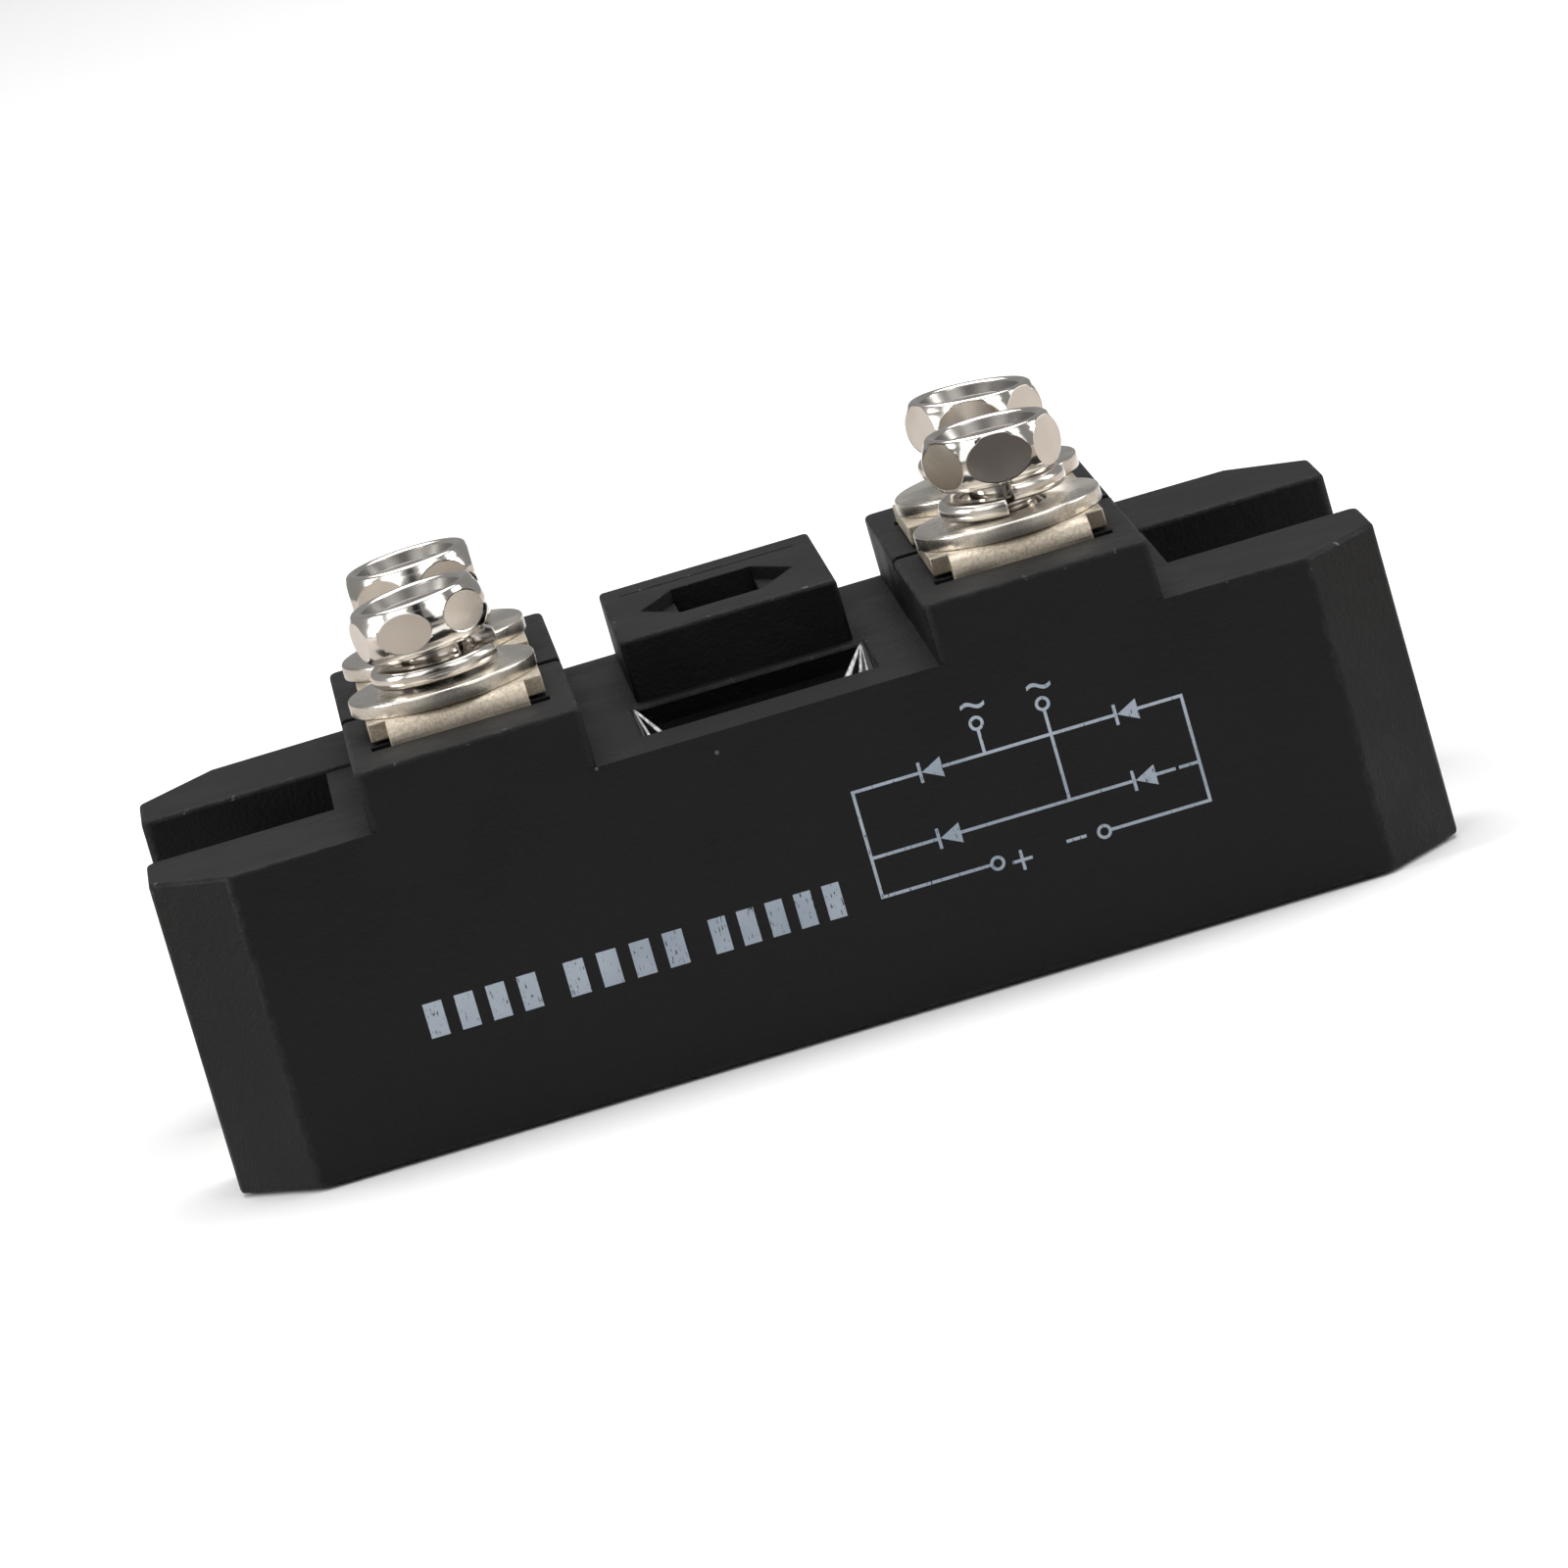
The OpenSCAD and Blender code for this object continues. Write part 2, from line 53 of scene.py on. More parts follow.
# How each screw was left: its turn, the place of its spring washer's split and its lean to
# the right, in degrees; how deep it was driven and how far its flats lie out, in mm.
Screw = namedtuple("Screw", "turn split lean sunk flat_at")
SCREWS = {
    1: Screw(turn=44, split=345, lean=-3.8, sunk=0.35, flat_at=4.12),
    2: Screw(turn=28, split=20, lean=-1.8, sunk=0.35, flat_at=4.1),
    3: Screw(turn=1, split=272, lean=1.5, sunk=0.4, flat_at=3.95),
    4: Screw(turn=52, split=70, lean=4.2, sunk=0.3, flat_at=3.95),
}

# ------------------------------------------------------------------ sizes, mm

CASE_L, CASE_W, SHELF_Z, ROOF_Z = 80, 40, 20.9, 18.9
CORNER_X, CORNER_Y = 5, 5.25
TOWER_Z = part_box("housing")[1].z / MM - 0.2
TOWER_IN, TOWER_OUT = 11.1, 25.7
CHANNEL_X, CHANNEL_W = 27.6, 15.2
RECESS_X, RECESS_FRONT, RECESS_REAR = 6.7, -1.6, 18.4
POCKET_FRONT, POCKET_REAR, GROOVE_HALF = 2, 14.8, 0.9
EDGE_ROUND, FINE_ROUND = 0.3, 0.07
PLATE_ROUND, STRIP_ROUND, WIRE_ROUND = 0.15, 0.1, 0.05

WINDOW_L, WINDOW_W, WINDOW_Y = 15.3, 10.6, -8.7
RESIN_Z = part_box("potting_resin")[1].z / MM
# How far the resin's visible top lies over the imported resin.
SKIN = 0.03
RUN_START, RUN_L, RUN_FALL, RUN_FLATNESS = 0.12, 7.4, 0.125, 0.34
RIM_Z = SHELF_Z - 0.12
# The glinting folds of resin at each end, pale beads with a painted highlight: how far each veers
# off, and its width at its start and end.
RUNS = {
    LEFT: ((0.177, 0.18, 0.36), (0.057, 0.12, 0.24)),
    RIGHT: ((0.268, 0.16, 0.56), (0.133, 0.12, 0.26), (0.06, 0.08, 0.18)),
}

SCREW_R, SCREW_CORE_R, HOLE_R = 2.5, 2.05, 2.65
THREAD_PITCH, THREAD_CREST, THREAD_FLANK, THREAD_ROOT = 0.8, 0.06, 0.336, 0.02
TIP_ROUND, TIP_H, THREAD_FROM = 0.3, 0.4, 0.7
HEAD_H, HEAD_R, HEAD_ROUND, HEAD_BELLY = 3.5, 4.5, 2.41, 1.75
FLAT_EDGE, FLAT_SUNK = 0.07, 0.012
RIM_ROUND, DISH_FLOOR_R, DISH_H, DISH_CORNER = 0.45, 2.8, 0.85, 0.16
CROSS_MOUTH, CROSS_FOOT, CROSS_ARM, CROSS_H, CROSS_TAPER = 5.2, 1.8, 0.95, 2.1, 0.7
PUNCHED_ROUND, SHEARED_ROUND, HOLE_ROUND = 0.2, 0.08, 0.12
SPRING_R, SPRING_CORNER, SPRING_HOLE_ROUND, SPLIT_ANGLE = 4.2, 0.5, 0.14, 8

PRINT_T, PRINT_LINE, DIODE_SIZE = 0.02, 0.2, 1.32
TILDE_L, TILDE_WAVE, TILDE_LINE = 1.55, 0.15, 0.25
# Pale specks on the front, as their place and half-width, and the height from which the
# rubbed edges have pale nicks.
SPECKS = (((-3.7, -20, 19.63), 0.18), ((-11.15, -20, 20.8), 0.14))
NICKS_FROM, NICKS_FULL = 15, 17


# ------------------------------------------------------------------ mesh helpers


def arc(centre, radius, start, end, steps):
    """Points along an arc in a plane, its angles in degrees."""
    angles = [math.radians(start + (end - start) * i / steps) for i in range(steps + 1)]
    return [(centre[0] + radius * math.cos(a), centre[1] + radius * math.sin(a)) for a in angles]


def move(bm, matrix):
    """Moves everything in a bmesh."""
    bmesh.ops.transform(bm, matrix=matrix, verts=bm.verts)


def verts_in(geometry):
    return [g for g in geometry if isinstance(g, bmesh.types.BMVert)]


def edges_in(geometry):
    return [g for g in geometry if isinstance(g, bmesh.types.BMEdge)]


def as_mesh(name, bm):
    """Turns a bmesh into a mesh and lets the bmesh go."""
    mesh = bpy.data.meshes.new(name)
    bm.to_mesh(mesh)
    bm.free()
    return mesh


def in_scene(name, data):
    """Puts a mesh, a light or a camera in the scene."""
    made = bpy.data.objects.new(name, data)
    bpy.context.scene.collection.objects.link(made)
    return made


def take_in(bm, other):
    """Adds another bmesh to a bmesh and lets the other go."""
    spare = as_mesh("spare", other)
    bm.from_mesh(spare)
    bpy.data.meshes.remove(spare)


def tidy(bm):
    """Joins doubled points and turns every face outwards."""
    bmesh.ops.remove_doubles(bm, verts=bm.verts, dist=0.0005 * MM)
    bmesh.ops.recalc_face_normals(bm, faces=bm.faces)


def turned(profile, steps):
    """A solid turned round Z from half its outline, given in mm as (radius, height)."""
    bm = bmesh.new()
    points = [bm.verts.new((r * MM, 0, z * MM)) for r, z in profile]
    edges = [bm.edges.new(pair) for pair in zip(points, points[1:])]
    bmesh.ops.spin(
        bm, geom=points + edges, cent=(0, 0, 0), axis=(0, 0, 1), dvec=(0, 0, 0),
        angle=math.tau, steps=steps, use_merge=True, use_duplicate=False,
    )
    tidy(bm)
    return bm


def coil(profile, turn, rise, steps):
    """A bar wound round Z: its section goes round by an angle and climbs by a rise in mm."""
    bm = bmesh.new()
    points = [bm.verts.new((r * MM, 0, z * MM)) for r, z in profile]
    edges = [bm.edges.new(pair) for pair in zip(points, points[1:] + points[:1])]
    bmesh.ops.spin(
        bm, geom=points + edges, cent=(0, 0, 0), axis=(0, 0, 1), dvec=(0, 0, rise * MM / steps),
        angle=math.radians(turn), steps=steps, use_duplicate=False,
    )
    bmesh.ops.holes_fill(bm, edges=[e for e in bm.edges if e.is_boundary], sides=0)
    tidy(bm)
    return bm


def merged_copy(node):
    """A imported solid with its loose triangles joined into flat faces."""
    bm = bmesh.new()
    bm.from_mesh(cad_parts[node].data)
    bmesh.ops.remove_doubles(bm, verts=bm.verts, dist=0.001 * MM)
    bmesh.ops.dissolve_limit(
        bm, angle_limit=math.radians(0.6), verts=bm.verts, edges=bm.edges,
        use_dissolve_boundaries=False,
    )
    return bm


def round_edges(bm, radius, segments=2, wanted=lambda middle: True):
    """Rounds the outward edges whose middle passes a test, and marks the faces of the rounding."""
    rounded_edge = bm.faces.layers.float.get("rounded_edge") or bm.faces.layers.float.new("rounded_edge")
    edges = [
        e for e in bm.edges
        if e.is_manifold and e.calc_face_angle_signed() > math.radians(28)
        and wanted((e.verts[0].co + e.verts[1].co) / 2 / MM)
    ]
    made = bmesh.ops.bevel(
        bm, geom=edges, offset=radius * MM, offset_type="OFFSET", affect="EDGES",
        segments=segments, profile=0.5, material=-1, clamp_overlap=False,
    )
    for face in made["faces"]:
        face[rounded_edge] = 1


def is_broad(face):
    """True for a face that is wider than a facet of a rounding."""
    return 2 * face.calc_area() / face.calc_perimeter() > 0.3 * MM


def shade(bm, sharp, broad_stay_flat):
    """Smooths every face up to its sharp edges, and may keep the broad faces quite flat."""
    for face in bm.faces:
        face.smooth = True
    for edge in bm.edges:
        turn = edge.calc_face_angle(math.pi)
        borders_broad = broad_stay_flat and any(is_broad(f) for f in edge.link_faces)
        edge.smooth = turn < math.radians(sharp) and not borders_broad


def piece(name, bm, finish, stands_for=(), sharp=35, broad_stay_flat=False):
    """Makes a piece of the part: its mesh, finish and shading, on the part's one body."""
    shade(bm, sharp, broad_stay_flat)
    mesh = as_mesh(name, bm)
    mesh.materials.append(finish)
    made = in_scene(name, mesh)
    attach(made, "root")
    if stands_for:
        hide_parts(*stands_for)


# ------------------------------------------------------------------ node helpers


def node(tree, kind, inputs=None, **settings):
    """Adds a shader node. Each input is a value or another node's output."""
    made = tree.nodes.new("ShaderNode" + kind)
    for name, value in settings.items():
        setattr(made, name, value)
    for name, value in (inputs or {}).items():
        if isinstance(value, bpy.types.NodeSocket):
            tree.links.new(value, made.inputs[name])
        else:
            made.inputs[name].default_value = value
    return made


def maths(tree, operation, a, b=0.0):
    return node(tree, "Math", {0: a, 1: b}, operation=operation).outputs[0]


def fade(tree, value, low, high, to_low=0.0, to_high=1.0):
    """Turns a stretch of values into another with soft ends."""
    made = node(
        tree, "MapRange",
        {"Value": value, "From Min": low, "From Max": high, "To Min": to_low, "To Max": to_high},
        interpolation_type="SMOOTHSTEP", clamp=True,
    )
    return made.outputs[0]


def noise(tree, place, scale, detail=2.0, roughness=0.5):
    made = node(
        tree, "TexNoise",
        {"Vector": place, "Scale": scale, "Detail": detail, "Roughness": roughness},
    )
    return made.outputs[0]


def blend(tree, share, first, second):
    """Mixes two colours by a mask."""
    made = node(tree, "Mix", {0: share, 6: first, 7: second}, data_type="RGBA")
    return made.outputs[2]


def stretched(tree, place, scale):
    return node(tree, "Mapping", {"Vector": place, "Scale": scale}).outputs[0]


def object_place(tree):
    return node(tree, "TexCoord").outputs["Object"]


def grey(level):
    return (level, level, level, 1)


# ------------------------------------------------------------------ shared effects


def effect(name, inputs, outputs):
    """An empty node group with its named sockets, and its two end nodes."""
    tree = bpy.data.node_groups.new(name, "ShaderNodeTree")
    for label, kind in inputs:
        tree.interface.new_socket(label, in_out="INPUT", socket_type="NodeSocket" + kind)
    for label in outputs:
        tree.interface.new_socket(label, in_out="OUTPUT", socket_type="NodeSocketFloat")
    given = tree.nodes.new("NodeGroupInput").outputs
    out = tree.nodes.new("NodeGroupOutput").inputs
    return tree, given, out


def grain_effect():
    """Fine moulded or cast grain, and the slow patches that lie over it."""
    tree, given, out = effect(
        "grain", [("Place", "Vector"), ("Scale", "Float")], ["Height", "Patches"],
    )
    fine = noise(tree, given["Place"], given["Scale"], 3.0, 0.6)
    coarse = noise(tree, given["Place"], maths(tree, "MULTIPLY", given["Scale"], 0.33), 1.0)
    slow = noise(tree, given["Place"], maths(tree, "MULTIPLY", given["Scale"], 0.04), 3.0, 0.55)
    height = maths(tree, "ADD", fine, maths(tree, "MULTIPLY", coarse, 0.6))
    tree.links.new(height, out["Height"])
    tree.links.new(fade(tree, slow, 0.35, 0.65), out["Patches"])
    return tree


def edge_wear_and_sheen_effect():
    """Where a rounded edge is lighter, partly from wear and partly from painted highlight: along
    the marked faces, in uneven stretches.
    """
    tree, given, out = effect("edge_wear_and_sheen", [("Place", "Vector"), ("Scale", "Float")], ["Mask"])
    edge = node(tree, "Attribute", attribute_name="rounded_edge").outputs["Fac"]
    uneven = fade(tree, noise(tree, given["Place"], given["Scale"], 4.0, 0.6), 0.4, 0.62)
    tree.links.new(maths(tree, "MULTIPLY", edge, uneven), out["Mask"])
    return tree


def tool_marks_effect():
    """Fine lines that a die, a roller or a drum leaves in metal, and small dents."""
    tree, given, out = effect(
        "tool_marks", [("Place", "Vector"), ("Scale", "Float"), ("Stretch", "Vector")],
        ["Height", "Patches"],
    )
    lines = noise(tree, stretched(tree, given["Place"], given["Stretch"]), given["Scale"], 4.0, 0.7)
    pits = noise(tree, given["Place"], maths(tree, "MULTIPLY", given["Scale"], 0.5), 2.0)
    slow = noise(tree, given["Place"], maths(tree, "MULTIPLY", given["Scale"], 0.08), 2.0)
    height = maths(tree, "ADD", lines, maths(tree, "MULTIPLY", pits, 0.7))
    tree.links.new(height, out["Height"])
    tree.links.new(fade(tree, slow, 0.35, 0.65), out["Patches"])
    return tree


GRAIN = grain_effect()
EDGE_WEAR_AND_SHEEN = edge_wear_and_sheen_effect()
TOOL_MARKS = tool_marks_effect()


def use(tree, group, **inputs):
    """Places a shared effect and returns its outputs."""
    made = tree.nodes.new("ShaderNodeGroup")
    made.node_tree = group
    for name, value in inputs.items():
        if isinstance(value, bpy.types.NodeSocket):
            tree.links.new(value, made.inputs[name])
        else:
            made.inputs[name].default_value = value
    return made.outputs


# ------------------------------------------------------------------ finishes


def new_finish(name, **settings):
    """A material with its shader, whose plain settings go straight on the shader."""
    made = bpy.data.materials.new(name)
    made.use_nodes = True
    tree = made.node_tree
    shader = tree.nodes["Principled BSDF"]
    for label, value in settings.items():
        shader.inputs[label.replace("_", " ")].default_value = value
    return made, tree, shader.inputs, object_place(tree)


def set_bump(tree, shader, height, depth):
    """Raises the surface by a height map whose full range is a depth in mm."""
    bump = node(tree, "Bump", {"Height": height, "Distance": depth * MM, "Strength": 1.0})
    tree.links.new(bump.outputs[0], shader["Normal"])


def case_plastic():
    """Black glass-filled plastic: fine grain, rounded edges lighter from wear and painted
    highlight, nicked edges, two pale specks.
    """
    made, tree, shader, place = new_finish("black_moulded_plastic", Specular_IOR_Level=0.17)
    grain = use(tree, GRAIN, Place=place, Scale=4200.0)
    edge = use(tree, EDGE_WEAR_AND_SHEEN, Place=place, Scale=900.0)["Mask"]
    chips = fade(tree, noise(tree, place, 1500.0, 3.0, 0.6), 0.64, 0.68)
    nicks = maths(tree, "MULTIPLY", edge, chips)
    height = node(tree, "SeparateXYZ", {"Vector": place}).outputs["Z"]
    pale = maths(tree, "MULTIPLY", nicks, fade(tree, height, NICKS_FROM * MM, NICKS_FULL * MM))
    for where, size in SPECKS:
        apart = node(tree, "VectorMath", {0: place, 1: Vector(where) * MM}, operation="DISTANCE")
        dot = fade(tree, apart.outputs["Value"], size * MM, size * 0.4 * MM, 0, 0.7)
        pale = maths(tree, "MAXIMUM", pale, dot)
    body = blend(tree, grain["Patches"], (0.005, 0.005, 0.0052, 1), (0.0063, 0.0063, 0.0066, 1))
    # The rounded edges are lighter: partly rubbed wear, partly a painted highlight.
    rubbed = blend(tree, edge, body, (0.0115, 0.0115, 0.012, 1))
    speckled = blend(tree, pale, rubbed, (0.11, 0.11, 0.115, 1))
    wetted = node(tree, "Attribute", attribute_name="in_window").outputs["Fac"]
    tree.links.new(blend(tree, wetted, speckled, grey(0.003)), shader["Base Color"])
    dull = fade(tree, grain["Patches"], 0, 1, 0.5, 0.6)
    gloss = maths(tree, "MULTIPLY", wetted, 0.35)
    tree.links.new(maths(tree, "SUBTRACT", dull, gloss), shader["Roughness"])
    set_bump(tree, shader, grain["Height"], 0.07)
    return made


def resin_black():
    """Cast resin, mirror smooth, with hardly any waviness."""
    made, tree, shader, place = new_finish("black_cast_resin", Specular_IOR_Level=0.5)
    grain = use(tree, GRAIN, Place=place, Scale=500.0)
    body = blend(tree, grain["Patches"], grey(0.004), (0.006, 0.006, 0.007, 1))
    tree.links.new(body, shader["Base Color"])
    tree.links.new(fade(tree, grain["Patches"], 0, 1, 0.03, 0.07), shader["Roughness"])
    set_bump(tree, shader, grain["Height"], 0.004)
    return made


def bright_nickel(name, tone, roughness, depth, stretch, scuffs=0.0):
    """Nickel plate over steel: bright, slightly warm, with tool marks, fine scuffs and painted
    shade in a screw head's dish.
    """
    made, tree, shader, place = new_finish(name, Metallic=1.0)
    marks = use(tree, TOOL_MARKS, Place=place, Scale=2600.0, Stretch=stretch)
    duller = tuple(0.86 * c for c in tone)
    plate = blend(tree, marks["Patches"], (*duller, 1), (*tone, 1))
    rubbed = fade(tree, noise(tree, place, 4200.0, 5.0, 0.85), 0.36, 0.7)
    worn_through = maths(tree, "MULTIPLY", rubbed, scuffs)
    body = blend(tree, worn_through, plate, (0.22, 0.175, 0.125, 1))
    # The dish of a screw head is painted darker: painted shade in the hollow.
    in_dish = node(tree, "Attribute", attribute_name="in_dish").outputs["Fac"]
    tree.links.new(blend(tree, in_dish, body, (0.17, 0.157, 0.145, 1)), shader["Base Color"])
    dull = fade(tree, marks["Patches"], 0, 1, roughness * 0.8, roughness * 1.25)
    duller_still = maths(tree, "MULTIPLY", maths(tree, "MAXIMUM", worn_through, in_dish), 0.2)
    tree.links.new(maths(tree, "ADD", dull, duller_still), shader["Roughness"])
    set_bump(tree, shader, marks["Height"], depth)
    return made


def copper_bare():
    """Bare copper, drawn along the strips."""
    made, tree, shader, place = new_finish("bare_copper", Metallic=1.0)
    marks = use(tree, TOOL_MARKS, Place=place, Scale=1800.0, Stretch=(1, 12, 1))
    body = blend(tree, marks["Patches"], (0.62, 0.29, 0.16, 1), (0.78, 0.42, 0.27, 1))
    tree.links.new(body, shader["Base Color"])
    tree.links.new(fade(tree, marks["Patches"], 0, 1, 0.28, 0.42), shader["Roughness"])
    set_bump(tree, shader, marks["Height"], 0.004)
    return made


def alumina():
    """White ceramic of the insulating tile."""
    made, tree, shader, place = new_finish("white_alumina")
    grain = use(tree, GRAIN, Place=place, Scale=3500.0)
    body = blend(tree, grain["Patches"], (0.80, 0.79, 0.76, 1), (0.88, 0.87, 0.85, 1))
    tree.links.new(body, shader["Base Color"])
    tree.links.new(fade(tree, grain["Patches"], 0, 1, 0.5, 0.62), shader["Roughness"])
    set_bump(tree, shader, grain["Height"], 0.006)
    return made


def silicon():
    """Silicon with its thin metal coat."""
    made, tree, shader, place = new_finish("metallised_silicon", Metallic=0.7)
    grain = use(tree, GRAIN, Place=place, Scale=2500.0)
    body = blend(tree, grain["Patches"], (0.20, 0.21, 0.24, 1), (0.30, 0.31, 0.34, 1))
    tree.links.new(body, shader["Base Color"])
    tree.links.new(fade(tree, grain["Patches"], 0, 1, 0.2, 0.3), shader["Roughness"])
    return made


def soft_gel():
    """Clear soft gel over the chips."""
    made, tree, shader, place = new_finish("clear_silicone_gel", Alpha=0.45, IOR=1.41)
    grain = use(tree, GRAIN, Place=place, Scale=300.0)
    body = blend(tree, grain["Patches"], (0.78, 0.80, 0.80, 1), (0.86, 0.87, 0.87, 1))
    tree.links.new(body, shader["Base Color"])
    tree.links.new(fade(tree, grain["Patches"], 0, 1, 0.08, 0.16), shader["Roughness"])
    return made


def resin_fold_glint():
    """Pale beads whose colour is a painted highlight: the glints on folds of the resin, lighter and
    darker along their length.
    """
    made, tree, shader, place = new_finish("resin_fold_painted_glint", Coat_Weight=0.6)
    grain = use(tree, GRAIN, Place=place, Scale=1500.0)
    along = noise(tree, stretched(tree, place, (3, 0.5, 1)), 1500.0, 2.0)
    body = blend(tree, fade(tree, along, 0.35, 0.65), (0.42, 0.42, 0.43, 1), (0.92, 0.92, 0.92, 1))
    tree.links.new(body, shader["Base Color"])
    tree.links.new(fade(tree, grain["Patches"], 0, 1, 0.15, 0.3), shader["Roughness"])
    set_bump(tree, shader, grain["Height"], 0.01)
    return made


def pad_print():
    """Pale grey ink, thin and scratched where it took badly."""
    made, tree, shader, place = new_finish("pale_pad_print", Specular_IOR_Level=0.25)
    grain = use(tree, GRAIN, Place=place, Scale=3800.0)
    scratches = noise(tree, stretched(tree, place, (2.2, 1, 0.45)), 3600.0, 2.0, 0.6)
    missing = fade(tree, scratches, 0.60, 0.68)
    ink = blend(tree, grain["Patches"], (0.24, 0.28, 0.33, 1), (0.32, 0.36, 0.41, 1))
    body = blend(tree, missing, ink, (0.02, 0.02, 0.021, 1))
    tree.links.new(body, shader["Base Color"])
    tree.links.new(fade(tree, grain["Patches"], 0, 1, 0.55, 0.7), shader["Roughness"])
    set_bump(tree, shader, grain["Height"], 0.01)
    return made


FINISHES = {
    "case": case_plastic(),
    "resin": resin_black(),
    "screw": bright_nickel("bright_nickel_screw", (0.78, 0.74, 0.69), 0.14, 0.0015, (1, 1, 6)),
    "washer": bright_nickel("nickel_washer", (0.80, 0.76, 0.69), 0.25, 0.005, (2, 2, 2), 0.4),
    "spring": bright_nickel("nickel_spring", (0.78, 0.74, 0.68), 0.2, 0.003, (1, 1, 5)),
    "strip": bright_nickel("nickel_strip", (0.64, 0.57, 0.47), 0.5, 0.012, (2.5, 2.5, 2.5), 0.6),
    "plate": bright_nickel("nickel_base_plate", (0.72, 0.69, 0.64), 0.35, 0.005, (1, 9, 1)),
    "copper": copper_bare(),
    "ceramic": alumina(),
    "silicon": silicon(),
    "gel": soft_gel(),
    "resin_fold_glint": resin_fold_glint(),
    "print": pad_print(),
}

# ------------------------------------------------------------------ case


def seen_outside(middle):
    """True for a point of the case that isn't in one of its closed rooms."""
    x, y, z = abs(middle.x), abs(middle.y), middle.z
    edge = 0.05
    in_channel = x > CHANNEL_X - edge and y < CHANNEL_W / 2 + 1
    across = (x - CASE_L / 2 + CORNER_X) / CORNER_X + (y - CASE_W / 2 + CORNER_Y) / CORNER_Y
    on_skin = x > CASE_L / 2 - edge or y > CASE_W / 2 - edge or across > 1 - edge / CORNER_X
    return z > ROOF_Z + edge or in_channel or on_skin


def in_fine_detail(middle):
    """True in the places where edges lie close together."""
    x, y, z = abs(middle.x), abs(middle.y), middle.z
    recess = x < RECESS_X and RECESS_FRONT < middle.y < RECESS_REAR and z > SHELF_Z + 0.1
    groove = TOWER_IN - 0.5 < x < TOWER_OUT + 0.5 and y < GROOVE_HALF and z > TOWER_Z - 2
    on_tower = TOWER_IN + 1 < x < TOWER_OUT - 1 and z < TOWER_Z + 0.3
    pockets = on_tower and POCKET_FRONT < y < POCKET_REAR
    step = x < TOWER_IN + 0.2 and y < 0.1 and abs(z - SHELF_Z) < 0.3
    sunk_strip = TOWER_OUT - 0.1 < x < CHANNEL_X + 0.1 and y < CHANNEL_W / 2 + 0.1
    return recess or groove or pockets or step or (sunk_strip and z < SHELF_Z + 0.1)


def make_case():
    """The housing with its edges rounded, the broad ones more than the fine ones."""
    bm = merged_copy("housing")
    round_edges(bm, EDGE_ROUND, 3, lambda m: seen_outside(m) and not in_fine_detail(m))
    round_edges(bm, FINE_ROUND, 2, lambda m: seen_outside(m) and in_fine_detail(m))
    in_window = bm.faces.layers.float.new("in_window")
    margin, rim = 0.02, 0.15
    for face in bm.faces:
        middle = face.calc_center_median() / MM
        along = abs(middle.x) < WINDOW_L / 2 + margin
        across = abs(middle.y - WINDOW_Y) < WINDOW_W / 2 + margin
        face[in_window] = along and across and middle.z < SHELF_Z - rim
    piece("case", bm, FINISHES["case"], ["housing"], broad_stay_flat=True)


def soft_step(value, low, high):
    """Goes from nought to one between two values with soft ends."""
    share = min(1, max(0, (value - low) / (high - low)))
    return share * share * (3 - 2 * share)


def resin_level(x, y):
    """How far the resin has crept up at a place in the window, in mm."""
    end = LEFT if x < 0 else RIGHT
    side = WINDOW_L / 2 - abs(x)
    rear = max(0, WINDOW_Y + WINDOW_W / 2 - y)
    widest = RUNS[end][0][0]
    fan = side / (rear + 0.3)
    climb = RIM_Z - RESIN_Z - RUN_FALL * rear
    return climb * (1 - soft_step(fan, widest + 0.02, widest + 0.25))


def make_resin_surface():
    """The mirror-smooth top of the resin, which has crept up the ends of the window."""
    bm = bmesh.new()
    across, along, crowding_at_ends = 130, 320, 1.7
    bmesh.ops.create_grid(bm, x_segments=along, y_segments=across, size=0.5)
    for vert in bm.verts:
        even = 2 * vert.co.x
        x = WINDOW_L / 2 * math.copysign(1 - (1 - abs(even)) ** crowding_at_ends, even)
        y = WINDOW_Y + WINDOW_W * vert.co.y
        vert.co = Vector((x, y, RESIN_Z + SKIN + resin_level(x, y))) * MM
    rim = [e for e in bm.edges if e.is_boundary]
    down = bmesh.ops.extrude_edge_only(bm, edges=rim)["geom"]
    for vert in verts_in(down):
        vert.co.z = (RESIN_Z - SKIN) * MM
    bmesh.ops.edgeloop_fill(bm, edges=edges_in(down))
    tidy(bm)
    piece("resin_surface", bm, FINISHES["resin"], sharp=70)


def make_glinting_folds():
    """Beads that fan out from the rear corners over the crept resin, pale with a painted highlight
    for the glints on the resin's folds.
    """
    bm = bmesh.new()
    steps, around = 28, 14
    rear_y = WINDOW_Y + WINDOW_W / 2
    for end, runs in RUNS.items():
        for veer, thin, thick in runs:
            loops = []
            for step in range(steps + 1):
                rear = RUN_START + RUN_L * step / steps
                width = (thin + (thick - thin) * step / steps) * min(1, 0.3 + step / 4)
                x = end * (WINDOW_L / 2 - 0.1 - veer * rear)
                middle = Vector((x, rear_y - rear, RIM_Z - RUN_FALL * rear))
                loop = []
                for i in range(around):
                    angle = math.tau * i / around
                    across, up = width / 2 * math.cos(angle), RUN_FLATNESS * width * math.sin(angle)
                    loop.append(bm.verts.new((middle + Vector((across, 0, up))) * MM))
                loops.append([bm.edges.new(pair) for pair in zip(loop, loop[1:] + loop[:1])])
            for first, second in zip(loops, loops[1:]):
                bmesh.ops.bridge_loops(bm, edges=first + second)
            for edges in (loops[0], loops[-1]):
                bmesh.ops.edgeloop_fill(bm, edges=edges)
    tidy(bm)
    piece("glinting_folds", bm, FINISHES["resin_fold_glint"], sharp=60)


# ------------------------------------------------------------------ metal parts


